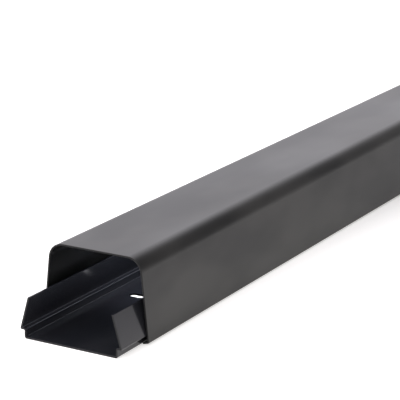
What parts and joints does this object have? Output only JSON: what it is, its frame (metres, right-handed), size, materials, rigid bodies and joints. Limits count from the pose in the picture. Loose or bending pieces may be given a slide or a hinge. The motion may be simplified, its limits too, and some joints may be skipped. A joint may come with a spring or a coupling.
{
  "type": "cable trunking",
  "caption": "Straight length of two-piece cable trunking: slotted base channel with snap ledges and a round-cornered cover clipped over it, drawn back at one end.",
  "frame": {"origin": "centre of the base channel's underside, the face that lies against the wall", "axes": "+Y along the trunking, away from the end where the base is open; +Z out of the wall, towards the cover; +X to the right"},
  "size_m": [0.0796, 2.0286, 0.0563],
  "materials": {
    "base_plastic": "satin black extruded plastic",
    "cover_plastic": "satin black extruded plastic"
  },
  "bodies": {
    "base": {"base_channel": "base_plastic"},
    "cover": {"cover": "cover_plastic"}
  },
  "joints": [
    {"name": "cover_slide", "type": "slide", "parent": "base", "child": "cover", "axis": [0, 1, 0], "range_m": [-1.93, 1.87]}
  ]
}
